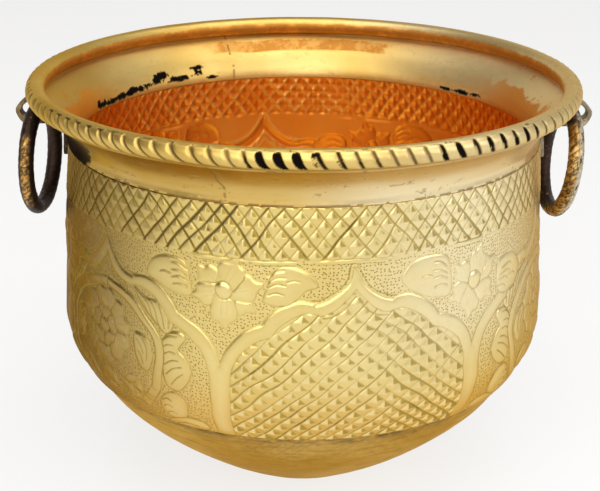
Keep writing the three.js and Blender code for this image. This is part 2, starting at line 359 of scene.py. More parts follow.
# One half of the arch from its point to the pillar, measured from its own axis: the outer
# edge of its raised band, then the inner one, each in the parts between its corners.
ARCH_OUT = ([(0, 222.5), (2.6, 217), (6, 211), (12, 204.4), (19, 199.8), (25.5, 198)],
            [(26, 199.2), (33, 200.8), (40, 200), (49, 195.6), (55, 189.6), (58.6, 184.2)],
            [(59.5, 183.6), (66, 180.5), (72.6, 176.7), (79, 170.5), (84, 163.6), (87.5, 155)])
ARCH_IN = ([(0, 208), (2.4, 204.6), (6, 200), (12, 194.6), (18, 191.4), (23, 190.4)],
           [(24, 191), (31, 192), (37, 190.4), (43, 187), (49, 181.6), (52.6, 175.6)],
           [(53.4, 174.6), (61, 171.8), (68.5, 167), (75, 160.6), (79.2, 152), (80.6, 143),
            (81, 130), (81.8, 112), (82, 90), (82, 60)])
ARCH_RIDGE = [(1.8, 224), (5, 217), (10, 209.6), (16, 204.4), (23, 200.6), (28, 200.4)]
ARCH_INSET = [(0, 202), (4, 197), (9, 192.4), (15, 189.6), (21, 188.8)]


def on_arch(points, x, flip):
    """A line of an arch on one side of its axis. The flowered arch is wider and higher."""
    points = np.array(points, float)
    if x:
        points = np.stack([points[:, 0] * (PERIOD / 2 - PILLAR_AT) / PILLAR_AT,
                           points[:, 1] + 3 * ease(75, 40, np.abs(points[:, 0]))], -1)
    return placed(points, x, 0, flip)


def arcade(sheet):
    """The raised bands of both arches and the pillars they stand on, as one."""
    out = np.concatenate([flow(part) for part in ARCH_OUT] + [[(PILLAR_AT, DRAWING_FOOT)]])
    back = np.concatenate([flow(part) for part in ARCH_IN])
    whole = np.concatenate([out[::-1] * (-1, 1), out, back[::-1], back * (-1, 1)])
    axes = (0, PERIOD / 2)
    outlines = [on_arch(whole, x, 1) for x in (-PERIOD / 2, *axes)]
    post = [(-6.6, 151), (0, 154), (6.6, 151), (6.6, 110), (6.2, DRAWING_FOOT),
            (-6.2, DRAWING_FOOT), (-6.6, 110)]
    outlines += [placed(post, x) for x in (-PILLAR_AT, PILLAR_AT)]
    sheet.boss(outlines, height=1.0, soft=3.0, edge=0.8)
    for x in axes:
        for flip in (1, -1):
            for line in (ARCH_RIDGE, ARCH_INSET):
                sheet.chase(on_arch(flow(line), x, flip), depth=0.4, width=0.6, dark=0.8)
            # the chisel ran on past the corners
            for line in ([(20, 203), (26, 200.6), (31, 200.6)],
                         [(53, 192), (57.5, 188), (60, 182.6)]):
                sheet.chase(on_arch(line, x, flip), depth=0.25, width=0.5, dark=0.5)


# A petal along +X from the middle of its flower: broad shoulders, then a drawn-out tip.
PETAL = [(2.5, -4.4), (8, -6.6), (12.5, -8.2), (17.4, -7.0), (19.4, -3.4), (25.5, 0),
         (20, 3.2), (17.8, 7.0), (12.5, 8.0), (8, 6.4), (2.5, 4.4)]
PETAL_SOFT = [(2.5, -5.0), (8, -7.4), (13.5, -8.8), (18.4, -7.4), (20.6, -3.4), (25.5, 0),
              (20.8, 3.4), (18, 7.6), (13, 8.8), (8, 7.2), (2.5, 5.0)]


def flower(sheet, x, y, petals, soft):
    """Petals in the order they overlap, each a turn in degrees and a reach."""
    shape = PETAL_SOFT if soft else PETAL
    for turn, reach in petals:
        sheet.boss([placed(flow(shape, closed=True, per=4), x, y, size=reach, tilt=turn)],
                   height=1.05, soft=3.8, edge=0.7)
        for k, spread in enumerate((-3.6, -1.6, 0.4, 2.2, 4.0)):
            if not soft or k % 2:
                vein = [(5.5, spread * 0.6), (9, spread * 0.9), (13.5 + (k % 2) * 2, spread)]
                sheet.chase(placed(vein, x, y, size=reach, tilt=turn), 0.2, 0.42, 0.34)
    sheet.boss([disc(x, y, 5.7, 6.3)], height=1.7, soft=2.6, base=0.2)


LEAF_FURROWS = (((15, 13.2), (9, 12.2), (3.5, 8.6)), ((15.5, 7.4), (9.5, 7.4), (3.2, 3.6)),
                ((15.5, 1.6), (9.5, 2.8), (3.0, 0.2)), ((14.5, -4.6), (9, -3.0), (3.5, -4.6)),
                ((25, 4.2), (21, 5.4), (15.5, 3.8)))


def leaf(sheet, outline, x, flip, tilt=0.0):
    """A leaf beside a flower, from its outline, with furrows running from its broad end."""
    shape = placed(flow(outline, closed=True, per=5), x)
    sheet.boss([shape], height=1.15, soft=4.0, edge=0.75)
    broad = shape[:, 0].min() if flip > 0 else shape[:, 0].max()
    y = (shape[:, 1].min() + shape[:, 1].max()) / 2 - 2
    for furrow in LEAF_FURROWS:
        struck = placed(flow(furrow), broad + flip * 0.5, y, flip, 0.92, tilt)
        sheet.chase(struck, depth=0.62, width=0.75, dark=0.62)


def carved(sheet, outline, strokes, x, flip=1, height=1.2):
    """A carved form mirrored on both sides of the panel, with short chisel strokes in it."""
    shape = placed(flow(outline, closed=True, per=4), x, flip=flip)
    sheet.boss([shape], height=height, soft=2.6)
    for stroke in strokes:
        sheet.chase(placed(flow(stroke, per=4), x, flip=flip), depth=0.4, width=0.55, dark=0.85)


def rose(sheet, x, y):
    """Two rings of broad petals with notched edges round a boss."""
    for reach, petals, start in ((29, 6, 0.52), (15.5, 5, 0.31)):
        for k in range(petals):
            a = start + k * 2 * math.pi / petals
            half = math.pi / petals * 1.18
            edge = [(math.cos(a + t * half) * r * reach, math.sin(a + t * half) * r * reach)
                    for t, r in ((-0.4, 0.3), (-0.9, 0.62), (-0.86, 0.86), (-0.42, 0.99), (0, 0.9),
                                 (0.42, 0.99), (0.86, 0.86), (0.9, 0.62), (0.4, 0.3))]
            sheet.boss([placed(flow(edge, closed=True, per=4), x, y)], height=0.85, soft=2.4,
                       base=0.15, edge=0.9)
            for t in (-0.34, 0.05, 0.38):
                way = a + t * half
                sheet.chase([(x + math.cos(way) * reach * r, y + math.sin(way) * reach * r)
                             for r in (0.62, 0.86)], 0.18, 0.45, 0.4)
    sheet.boss([disc(x, y, 5.8, 6.0)], height=1.2, soft=2.4, base=0.2)
    for k in range(7):
        way = k * 0.9
        sheet.chase([(x + math.cos(way) * r, y + math.sin(way) * r) for r in (7.2, 10.5)],
                    0.18, 0.4, 0.45)


def flowered_panel(sheet, x):
    """What fills the flowered arch: a medallion round a rose, with leaves outside it."""
    for flip in (1, -1):
        carved(sheet, [(29, 194), (40, 189), (52, 188.5), (59, 182), (62, 174), (58, 168),
                       (54, 168.5), (49, 173.5), (40, 180), (33, 186.5)],
               [[(35, 188), (39, 184), (42, 178.6)], [(40, 187.4), (44, 183), (46.6, 176)],
                [(45, 187), (49, 181.5), (51.5, 172.6)], [(50.5, 187), (54, 180), (56, 171)],
                [(56, 183.4), (58.4, 177.6), (59, 172)]], x, flip)
        carved(sheet, [(53, 161), (60, 169.5), (68, 171), (72, 166.5), (67, 158.5), (72, 153.4),
                       (76.5, 144.5), (73.6, 135), (65.5, 128), (57, 130), (54.5, 139),
                       (53, 149)],
               [[(55, 163.6), (59.6, 167), (65.5, 167.6)],
                [(55, 158.4), (58.6, 160.6), (63, 160.6)],
                [(55.5, 152.6), (60, 155.4), (64.5, 155)], [(56, 145), (61.5, 149), (67, 150)],
                [(57.6, 138), (63, 143.5), (69.5, 146)], [(61, 131.5), (66, 137), (70.6, 141)]],
               x, flip)
        carved(sheet, [(49, 113), (53, 121.6), (61, 126.8), (69.6, 122.6), (72, 113), (67, 104),
                       (58, 101), (51, 105)],
               [[(52, 117.6), (56, 120.4), (60, 119)], [(52.4, 112), (56, 115), (60.5, 114)],
                [(54, 107), (58, 109.6), (62, 108)]], x, flip, 1.5)
        carved(sheet, [(50, 97), (58, 102.4), (70, 106), (81, 105), (85, 99), (74, 94), (60, 92)],
               [[(57, 97), (66, 100.6), (76, 100)]], x, flip)
        band = np.concatenate([
            flow([(0, 193.5), (9, 191.6), (20, 189), (31, 184.4), (40.5, 177), (49.5, 167.6),
                  (54.4, 158), (55, 147), (53.4, 134.5), (50, 123), (43, 112), (36, 104)]),
            flow([(30, 109), (38, 117.6), (43.6, 127), (46.4, 136), (47.6, 147), (46.6, 157),
                  (42.4, 164.6), (34.6, 172), (27, 177.6), (18, 181.6), (9, 184), (0, 186)])])
        sheet.boss([placed(band, x, flip=flip)], height=1.15, soft=2.0)
        carved(sheet, [(29, 161.5), (36, 162), (43, 157), (45.6, 147), (43, 137), (37, 137),
                       (32, 143), (28.5, 152)],
               [[(31, 158), (35, 155), (38, 149)], [(36.5, 159.6), (40.5, 153), (41, 144)],
                [(33, 150), (36, 147), (38.6, 141)]], x, flip)
        carved(sheet, [(25, 129), (33, 126), (36, 118), (30, 111), (22, 107), (16, 112),
                       (18, 121)],
               [[(22, 123), (26, 118), (26.5, 112)], [(28, 124.5), (31, 119), (30.6, 114)]],
               x, flip)
        for base in ((6, 203), (12, 198.5), (19, 195)):
            stroke = [base, (base[0] + 2.4, base[1] - 4), (base[0] + 3, base[1] - 8)]
            sheet.chase(placed(stroke, x, flip=flip), 0.4, 0.55, 0.75)
    rose(sheet, x - 3, 157)
    sheet.boss([placed(flow([(0, 124), (8, 119), (9, 109), (0, 101), (-9, 109), (-8, 119)],
                            closed=True), x)], height=1.2)


def make_ornament():
    sheet = Ornament()
    X, Y = sheet.X, sheet.Y
    half = np.concatenate([flow(part) for part in ARCH_IN])
    panel = np.concatenate([half, half[::-1] * (-1, 1)])
    inside = Ornament.distance(panel, X, Y, closed=True) < 0
    right = ease(5, 45, X)
    sheet.hatch(inside, rise=10.3, slope=0.84, height=1.05, notch=0.95,
                weights=(0.9 - 0.45 * right, 0.25 + 0.6 * right), width=0.5, squeeze=0.0008)
    flowered_panel(sheet, PERIOD / 2)
    arcade(sheet)
    leaf(sheet, [(32.6, 201), (34.5, 207.4), (38.4, 217.9), (46.2, 224.3), (53.8, 223.5),
                 (62.6, 218.4), (67, 209.9), (59.8, 207), (55, 202.1), (48.2, 197.8),
                 (40.4, 197.4), (33, 199.8)], -BETWEEN_ARCHES, 1)
    leaf(sheet, [(-50.2, 206.3), (-47.7, 215.8), (-40, 221.6), (-30, 223.2), (-19.9, 220),
                 (-16.9, 208.3), (-16.8, 197.4), (-32, 197.9), (-41.7, 202)], -BETWEEN_ARCHES, -1)
    leaf(sheet, [(-60.1, 212.3), (-53.7, 221.8), (-40.3, 223.7), (-27, 220.3), (-23, 207),
                 (-25.2, 194.4), (-40.1, 196.4), (-54.3, 203)], BETWEEN_ARCHES, -1)
    leaf(sheet, [(21, 205), (31.2, 208.7), (43.3, 205.6), (50.3, 194.9), (48, 185), (38.3, 181.4),
                 (26.3, 182.6), (21, 192)], BETWEEN_ARCHES, 1, -14)
    flower(sheet, -BETWEEN_ARCHES + 6.4, 205,
           [(140, 0.94), (330, 1.02), (197, 0.92), (272, 1.08), (12, 1.08), (66, 1.04)], True)
    flower(sheet, BETWEEN_ARCHES - 3, 199.5,
           [(205, 1.0), (139, 0.92), (257, 1.1), (320, 1.0), (30, 1.0), (72, 1.0)], False)
    # the hatched band under the collar, with a thin raised line below part of it. The slope
    # makes the lines meet where the pattern repeats.
    band = (Y > BAND_LOW) & (Y < BAND_HIGH)
    front = within(X, (-116, -100), (124, 106))
    cell, cells = 12.8, 35
    sheet.hatch(band, rise=cell, slope=cells * cell / PERIOD, height=0.95, notch=0.8 * front,
                weights=(1.0, 0.8), width=0.62)
    shown = front * ease(0.3, 0.55, mottle(X / PERIOD, 0.5, 22, 1, 7))
    ridge = np.abs(Y - BAND_LOW + 1.5)
    sheet.height = np.where(
        ridge < 1.6, np.maximum(sheet.height, (0.9 - 0.2 * ridge) * shown - 0.35), sheet.height)
    for y, deep in ((BAND_LOW, 0.7), (BAND_LOW - 3.3, 0.55)):
        d = np.abs(Y - y)
        sheet.height -= 0.35 * deep * shown * near(d, 0.55)
        sheet.line = np.maximum(sheet.line, deep * shown * near(d, 0.45))
    sheet.ground = np.where(Y > BAND_LOW - 3 * shown, 0, sheet.ground)
    return sheet


ornament = make_ornament()


def skin(azimuth, height):
    """Height, line, ground and the painted highlight of upper left facets, at an azimuth in
    degrees and a height.
    """
    u = wrap(azimuth) / 360 + 0.5
    v = height / 300
    sway = (mottle(u, v, 40, 24, 5) - 0.5) * 2.4
    rise = (mottle(u, v, 36, 24, 6) - 0.5) * 1.8
    x = np.radians(wrap(azimuth - ARCH_AT)) * UNROLL + sway
    y = height + rise * ease(258, 250, height)
    fields = (ornament.height, ornament.line, ornament.ground, ornament.bright)
    return [ornament.read(field, x, y) for field in fields]


# Wall: the embossed shell, with one crumpled patch low on its left
CRUMPLED_AT, CRUMPLED_HEIGHT = -43.5, 118.0


def make_wall():
    outer = spaced([(float(body_radius(z)), z) for z in np.linspace(SEAM_HEIGHT, WALL_TOP, 400)],
                   0.7)
    normal = section_normals(outer, closed=False)
    inner = (outer - normal * SHEET)[::-1][::2]
    inner = inner[(inner[:, 1] > SEAM_HEIGHT + 0.3) & (inner[:, 1] < WALL_TOP - 0.2)]
    section, face = both_faces(outer, inner)
    A, Z = round_the_axis(section, WALL_COLUMNS)
    u, v = A / 360, Z / 300
    raised, line, ground, bright = skin(A, Z)
    # the relief is flatter towards the handles
    raised *= 0.8 - 0.3 * ease(55, 80, np.abs(wrap(A)))
    # the hammer was less even in some places than in others
    raised = raised * (0.84 + 0.3 * mottle(u, v, 26, 14, 11))
    raised += (mottle(u, v, 22, 12, 12) - 0.5) * 0.8
    crumple = np.exp(-(wrap(A - CRUMPLED_AT) / 9) ** 4 - ((Z - CRUMPLED_HEIGHT) / 11) ** 4)
    folds = np.abs(2 * mottle(u, v, 130, 60, 13) - 1) + 0.35 * mottle(u, v, 420, 170, 15)
    raised = raised * (1 - 0.7 * crumple) + crumple * (2.3 * folds**0.6 - 2.0)
    line = np.maximum(line, 0.8 * crumple * ease(0.22, 0.08, folds))
    # flat at both edges, where the wall meets the collar and the dish
    raised *= ease(WALL_TOP, WALL_TOP - 2.5, Z) * 0.9 + 0.1
    raised *= ease(SEAM_HEIGHT - 2, SEAM_HEIGHT + 7, Z) * 0.7 + 0.3
    raised = np.clip(raised, -1.3, 1.5)
    # residue in the lines is heavy at the upper left and light elsewhere
    soot = np.clip(ragged(u, v, 60, 30, 14) * 2.2 - 1.05, 0, 1)
    heavy = near(wrap(A + 42), 34) * ease(215, 240, Z)
    line = line * (0.62 + 0.45 * soot + 0.8 * heavy + 0.4 * ease(-40, -60, wrap(A)))
    # paler on worn raised parts, with a painted highlight on the upper left facets
    rubbed_and_highlight = ease(0.3, 1.2, raised) * 0.45 + bright * 0.6
    marks = {"line": line, "ground": ground, "rubbed_and_highlight": rubbed_and_highlight,
             "inside": (face < 0) * np.ones_like(A)}
    # the inner face follows the outer one
    lift = np.where(face > 0, raised, -1.6 * raised)
    return turned_piece("embossed_wall", section, lift, marks, WALL_COLUMNS)


# Dish: the rounded bottom, where the ornament was flattened again
def dish_radius(z):
    """The belly's line, set in below the seam so that the dish laps inside the wall."""
    below = (BELLY_HEIGHT - SEAM_HEIGHT) / BELLY_HEIGHT
    slope = (BELLY_RADIUS - FLAT_RADIUS) * BOWL_POWER / BELLY_HEIGHT * below ** (BOWL_POWER - 1)
    drop = (SHEET + LAP_GAP) * math.hypot(1, slope)
    return body_radius(z) - drop * ease(SEAM_HEIGHT - SEAM_FADE, SEAM_HEIGHT - 1, z)


def make_dish():
    side = [(float(dish_radius(z)), z) for z in np.linspace(0.05, SEAM_HEIGHT + SEAM_LAP, 200)]
    turn = flow([(FLAT_RADIUS - FLAT_SOFTEN, 0.02), (FLAT_RADIUS - 5, 0.5), side[9]])
    line = [(0.4, 0.02), (20, 0.02), (FLAT_RADIUS - FLAT_SOFTEN - 2, 0.02), *turn, *side[10:]]
    outer = spaced(line, 1.1)
    outer[:, 1] = np.maximum(outer[:, 1], 0.02)
    normal = section_normals(outer, closed=False)
    inner = (outer - normal * SHEET)[::-1][::2]
    inner[:, 0] = np.maximum(inner[:, 0], 0.4)
    section, face = both_faces(outer, inner)
    A, Z = round_the_axis(section, DISH_COLUMNS)
    u, v = A / 360, Z / 300
    raised, line = skin(A, np.maximum(Z, DRAWING_FOOT + 2))[:2]
    fade = ease(48, 92, Z)
    raised = raised * 0.22 * fade * ease(SEAM_HEIGHT + 1, SEAM_HEIGHT - 4, Z)
    raised = np.clip(raised, -0.5, 0.4)
    raised += (mottle(u, v, 40, 90, 21) - 0.5) * 0.35 * within(Z, (2, 12), (98, 92))
    raised *= ease(0.3, 2.5, Z)
    line = line * fade * (0.25 + 0.4 * mottle(u, v, 50, 80, 22))
    # dirt creeps down from the seam
    creep = np.clip(ragged(u, v, 90, 90, 23) * 2.6 - 0.9, 0, 1)
    creep = ease(SEAM_HEIGHT - 14, SEAM_HEIGHT, Z) * creep
    marks = {"line": line, "soot": creep, "inside": (face < 0) * np.ones_like(A)}
    return turned_piece("rounded_dish", section, raised * face, marks, DISH_COLUMNS)


# Collar: smooth flare and the roped roll at its top. Its two brazed seams are placed by
# azimuth, the end of the roll by its turn round the roll, the braze's top by its height.
FRONT_SEAM, BACK_SEAM = -15.6, -159.0
FREE_EDGE = 259.0
BRAZE_TOP = 268.5

# Blots of black residue inside the neck: azimuth and height, then half width and half height
BLOTS = ((-111.5, 265, 3.6, 4.2), (-118, 263, 4.2, 2.6), (-124.5, 265.5, 4.5, 3),
         (-130, 266, 3, 2.4), (-136.5, 270, 3.6, 4.6), (-142, 266.5, 4, 2.4),
         (-148, 270.5, 2.6, 5), (-153, 264.5, 2, 1.6), (125, 264, 2, 1.6), (130, 263, 2.4, 2),
         (136, 263, 3.2, 1.8))


def collar_line():
    """Middle of the sheet, from its lap in the wall to the end of the roll."""
    neck_radius = BELLY_RADIUS - NECK_INSET - SHEET - LAP_GAP - SHEET / 2
    lap = (neck_radius, WALL_TOP - NECK_LAP)
    start = (neck_radius, WALL_TOP)
    roll = BEAD_RADIUS - SHEET / 2
    entry = math.radians(BEAD_ENTRY)
    end = (BEAD_CENTRE[0] + roll * math.cos(entry), BEAD_CENTRE[1] + roll * math.sin(entry))
    away = (-math.sin(entry), math.cos(entry))
    a, b = (start[0] + 1.4, start[1] + 14), (end[0] - 14 * away[0], end[1] - 14 * away[1])
    curve = []
    for t in np.linspace(0, 1, 60):
        w = ((1 - t) ** 3, 3 * t * (1 - t) ** 2, 3 * t * t * (1 - t), t**3)
        curve.append(tuple(w[0] * start[k] + w[1] * a[k] + w[2] * b[k] + w[3] * end[k]
                           for k in (0, 1)))
    turn = [(BEAD_CENTRE[0] + roll * math.cos(t), BEAD_CENTRE[1] + roll * math.sin(t))
            for t in np.radians(np.linspace(BEAD_ENTRY, FREE_EDGE, 90))[1:]]
    return np.array([lap, *curve, *turn])


class Collar:
    """The collar's two faces as a grid, and what was done to them."""

    def __init__(self):
        middle = spaced(collar_line(), 0.95)
        normal = section_normals(middle, closed=False)
        outer, inner = middle + normal * SHEET / 2, (middle - normal * SHEET / 2)[::-1]
        self.section, face = both_faces(outer, inner)
        self.A, self.Z = round_the_axis(self.section, COLLAR_COLUMNS)
        self.u, self.v = self.A / 360, (self.Z - 255) / 55
        self.around = wrap(self.A)
        self.outside, self.inside = face > 0, face < 0
        self.neck_inside = self.inside * ease(295, 290, self.Z)
        out = np.broadcast_to(self.section[:, :1], self.A.shape) - BEAD_CENTRE[0]
        up = self.Z - BEAD_CENTRE[1]
        # degrees round the roll: 0 faces outward, 90 up
        self.round_bead = np.degrees(np.arctan2(up, out))
        self.near_bead = np.hypot(out, up) < BEAD_RADIUS + 0.6
        self.on_bead = self.near_bead & self.outside
        self.torn = ragged(self.u, self.v, 120, 8, 41)
        self.fine = ragged(self.u, self.v, 420, 26, 42)
        self.rope_top = 66 + 5 * (mottle(self.u, 0.5, 70, 1, 33) - 0.5)
        self.cut_rope()

    def cut_rope(self):
        """Leaf-shaped cuts struck across the roll, each with a steep right edge."""
        around, u = self.around, self.u
        self.zone = within(self.round_bead, (-60, -44), (64, 50)) * self.on_bead
        # from -1 at the cut's lower end to 1 at its upper end
        t = self.along_cut = np.clip((self.round_bead - 2) / 58, -1, 1)
        left_part = ease(5, -45, around)
        uneven = (mottle(u, 0.5, GADROONS // 2, 1, 31) - 0.5) * 0.5
        lean = (0.26 + 0.2 * left_part) * t + (0.06 + 0.12 * left_part) * (1 - t * t)
        self.step = step = (self.A / 360 * GADROONS + lean + uneven) % 1
        # the widest cuts, full of residue, are just left of the front
        middle = near(around + 3, 7.5, 4)
        self.full = (middle + 0.8 * within(around, (22, 26), (56, 44))
                     + 0.45 * within(around, (3, 6), (20, 15)))
        which = mottle(u, 0.5, GADROONS, 1, 32)
        wide = (0.22 + 0.14 * which + 0.17 * middle) * np.sqrt(np.clip(1 - t * t, 0, 1))
        self.facet = np.clip(1 - (1 - step) / np.maximum(wide, 0.03), 0, 1)
        self.steep = near(np.minimum(step, 1 - step), 0.1)
        deep = (0.75 + 0.3 * which) * np.sqrt(np.clip(1.04 - t * t, 0, 1))
        swell = np.sin(np.clip((step - 0.08) / (0.92 - wide), 0, 1) * math.pi / 2)
        self.rope = self.zone * (0.42 * swell * (1 - self.facet) - 0.1
                                 - deep * np.maximum(self.facet**0.8, self.steep))

    def relief(self):
        u, v = self.u, self.v
        # the roll lies a little inside the solid's, so that the rope stays within it
        raised = self.rope - 0.64 * self.on_bead
        # a fine line under the rope and a soft one along its top
        raised -= self.on_bead * 0.2 * near(self.round_bead + 60, 4)
        raised -= self.on_bead * 0.22 * near(self.round_bead - self.rope_top, 5)
        # dents, small on the roll and broad on the flare
        raised += (mottle(u, v, 60, 8, 34) - 0.5) * 0.2 * self.on_bead
        broad = (mottle(u, v, 30, 6, 35) - 0.5) * 0.5
        raised += broad * (1 - self.near_bead) * ease(262, 268, self.Z)
        # the inner face of the roll gives way under the cuts
        raised += 0.42 * self.near_bead * self.inside
        # the fillet of braze along the top edge of the wall
        fillet = ease(BRAZE_TOP, 262.6, self.Z) * (self.Z > WALL_TOP + 0.2) * self.outside
        return raised + fillet * (1.55 + 0.3 * mottle(u, 0.5, 300, 1, 47))

    def lines(self):
        """Dirt in the rope's cuts and grooves, at the wall's edge and in both seams."""
        u, v = self.u, self.v
        line = self.zone * np.maximum(ease(0.15, 0.6, self.steep), 0.35 * self.facet)
        line = line * (0.75 + 0.5 * mottle(u, 0.5, GADROONS, 1, 38))
        line += self.on_bead * 0.45 * near(self.round_bead + 60, 3)
        line += near(self.Z - 263.2, 0.6) * self.outside * (mottle(u, 0.5, 240, 1, 48) > 0.4)
        top_groove = self.on_bead * near(self.round_bead - self.rope_top, 3)
        line += 0.5 * top_groove * (mottle(u, 0.5, 200, 1, 39) > 0.55)
        sway = (self.Z - 262) * 0.06 + 1.2 * mottle(0.1, v, 3, 9, 36)
        seam = near(wrap(self.A - FRONT_SEAM + sway), 0.28)
        seam += near(wrap(self.A - BACK_SEAM + 0.8 * mottle(0.1, v, 3, 7, 37)), 0.3)
        seam *= 1 - self.on_bead
        return line + seam * 0.7 * (mottle(u, v, 4, 30, 40) > 0.35)

    def residue_and_shade(self):
        """Black residue in the rope and inside the neck, and dark patina with painted shade behind
        the left eye.
        """
        torn, around, Z = self.torn, self.around, self.Z
        pit = np.maximum(ease(0.02, 0.14, self.facet), ease(0.1, 0.3, self.steep))
        pit = pit * (np.abs(self.along_cut) < 0.82)
        filled = pit * ease(0.38, 0.5, self.full * (0.24 + 0.9 * torn))
        edged = self.steep * ease(0.3, 0.5, self.full * (0.45 + 0.75 * torn))
        soot = self.zone * np.maximum(filled, edged)
        # ticks along the rope's top, and at the heads of the cuts on the left
        tick = near(self.round_bead - 66, 7) * ease(0.56, 0.62, torn)
        tick = tick * ease(70, 50, np.abs(around))
        head = near(self.round_bead - 57, 8) * (np.abs(self.step - 0.5) > 0.24)
        head = head * ease(0.25, 0.4, torn) * within(around, (-62, -58), (-36, -39))
        soot = np.maximum(soot, self.on_bead * np.maximum(tick, head))
        blots = sum(near(wrap(self.A - at), wide) * near(Z - high, tall)
                    for at, high, wide, tall in BLOTS)
        blots = ease(0.42, 0.6, blots * (2.1 * torn + 1.1 * (self.fine - 0.5) - 0.1))
        soot = np.maximum(soot, self.neck_inside * blots)
        # behind the left eye the flare is dark patina with painted shade over it
        left = near(wrap(self.A + 76), 27, 6) * self.outside * (1 - self.on_bead)
        foot = 258 + 34 * ease(-62, -47, around)
        left = left * ease(-2, 3, Z - foot + 10 * (torn - 0.5)) * ease(299, 290, Z)
        return np.maximum(soot, left)

    def specks(self):
        speck = ease(0.70, 0.76, ragged(self.u * 0.5, self.v, 260, 22, 45)) * (1 - self.on_bead)
        return speck * (0.5 + 0.5 * mottle(self.u, self.v, 20, 4, 46)) * np.where(
            self.outside, 1, 0.3)

    def streak(self):
        """A brown streak high inside at the back, a painted dark reflection."""
        back = wrap(self.A - 180)
        torn, fine, Z = self.torn, self.fine, self.Z
        ends = ease(27, 22, back + 8 * (torn - 0.5)) * ease(-24, -20, back + 8 * (fine - 0.5))
        low = 281 + 3 * (mottle(self.u, 0.5, 50, 1, 52) - 0.5)
        edges = ease(low, low + 1, Z) * ease(low + 8.5, low + 7.5, Z + 2 * (fine - 0.5))
        return ends * edges * self.inside * (0.55 + 0.45 * ease(0.35, 0.55, torn))

    def heat_stain(self):
        """Orange brown inside the neck near both handles."""
        by_eye = near(wrap(self.A + 97), 17, 4) + near(wrap(self.A - 103), 20, 4)
        reach = 0.6 * self.torn + 0.5 * ease(286, 266, self.Z)
        return by_eye * self.neck_inside * ease(0.42, 0.5, reach)

    def inner_roll_shade_and_reflection(self):
        """The part of the roll that looks inwards, painted orange brown as shade and as the
        reflection of the interior.
        """
        turn = self.round_bead % 360
        return ease(150, 166, turn + 16 * (self.torn - 0.5)) * (turn < 270) * self.on_bead

    def dull(self):
        """Dull tan outside on the right, up to the handle."""
        start = self.around - 61 - 3 * (self.torn - 0.5) - (self.Z - 268) * 0.1
        plain = self.outside * (1 - self.on_bead)
        return ease(0, 1.2, start) * plain * ease(118, 100, self.around)

    def piece(self):
        inner_roll_shade_and_reflection, streak = self.inner_roll_shade_and_reflection(), self.streak()
        # the roll's inward face also darkens the lines, as painted shade
        line = self.lines() + 0.32 * inner_roll_shade_and_reflection * ease(0.2, 0.6, self.torn)
        # the painted dark reflection of the streak darkens the lines too
        line = np.maximum(line, 0.32 * streak)
        # the heat stain, with the painted dark reflection of the streak and the painted shade and
        # reflection of the roll's inward face
        stain_shade_and_reflection = np.maximum(self.heat_stain(), streak) + inner_roll_shade_and_reflection
        marks = {"line": line, "soot": self.residue_and_shade(), "speck": self.specks(), "stain_shade_and_reflection": stain_shade_and_reflection,
                 "dull": self.dull(), "inside": self.inside * np.ones_like(self.A),
                 "bead": self.on_bead}
        return turned_piece("roped_collar", self.section, self.relief(), marks, COLLAR_COLUMNS)


# Ring handles: cast, with a rope lay cut across the bar
RING_CUTS = 39
CUT_SLANT = 4

# Where the rings get a painted gold highlight, as the fades along the branch turned to the front
# and the fades round its bar. On the right ring it runs down to its bottom, with a painted pale
# highlight beside that.
RIGHT_GOLD_HIGHLIGHT = ((-100, -80), (62, 38)), ((-125, -95), (25, -12))
RIGHT_PALE_HIGHLIGHT = ((-75, -50), (80, 62)), ((-8, 22), (150, 110))
LEFT_GOLD_HIGHLIGHT = ((-48, -34), (40, 27)), ((-40, -18), (46, 22))


def make_ring(name, side):
    around, across = 390, 44
    a, b = np.meshgrid(np.arange(around) / around * 2 * math.pi,
                       np.arange(across) / across * 2 * math.pi, indexing="ij")
    u, v = a / (2 * math.pi), b / (2 * math.pi)
    lay = a * RING_CUTS - b * CUT_SLANT + (mottle(u, 0.5, 24, 1, 51 + side) - 0.5) * 3.6
    cut = np.abs(np.sin(lay / 2))
    rope = 0.62 * cut**0.55 - 0.62
    torn = ragged(u, v, 60, 14, 53 + side)

    def patch(along, across_bar):
        return (within(wrap(np.degrees(a) - 270), *along)
                * within(wrap(np.degrees(b)), *across_bar))

    # the gold patches are a painted highlight
    gold_highlight = patch(*(RIGHT_GOLD_HIGHLIGHT if side > 0 else LEFT_GOLD_HIGHLIGHT))
    # pale is a painted highlight on the right ring only
    pale = patch(*RIGHT_PALE_HIGHLIGHT) if side > 0 else 0.0 * a
    patches = ease(0.36, 0.56, ragged(u, v, 110, 18, 57 + side))
    gold_highlight = gold_highlight * ease(0.3, 0.55, torn + 0.1) * (0.15 + 0.85 * patches)
    pale = pale * ease(0.25, 0.45, torn)
    lumps = (ragged(u, v, 26, 7, 55 + side) - 0.5) * 0.9
    at_eye = ease(0.93, 0.98, np.cos(a))
    strong = 0.3 + 0.7 * np.maximum(gold_highlight, 0.3 * ease(0.5, 0.7, torn)) * (1 - 0.6 * pale)
    bar = BAR_RADIUS + (rope * strong + lumps * 0.45) * (1 - at_eye) - 0.22
    ring = RING_RADIUS + bar * np.cos(b)
    points = np.stack([bar * np.sin(b), ring * np.sin(a), ring * np.cos(a) - RING_RADIUS],
                      -1).reshape(-1, 3)
    hang = (Matrix.Rotation(math.radians(side * RING_TWIST), 3, "Z")
            @ Matrix.Rotation(math.radians(RING_LEAN[side]), 3, "Y"))
    points = points @ np.array(hang).T + np.array([side * BAR_X, 0, BAR_Z])
    i, j = np.meshgrid(np.arange(around), np.arange(across), indexing="ij")
    i1, j1 = (i + 1) % around, (j + 1) % across
    faces = np.stack([i * across + j, i1 * across + j, i1 * across + j1, i * across + j1],
                     -1).reshape(-1, 4)
    marks = {"groove": ease(0.42, 0.1, cut) * strong, "gold_highlight": gold_highlight, "pale": pale}
    return piece_from(name, points, faces, marks)


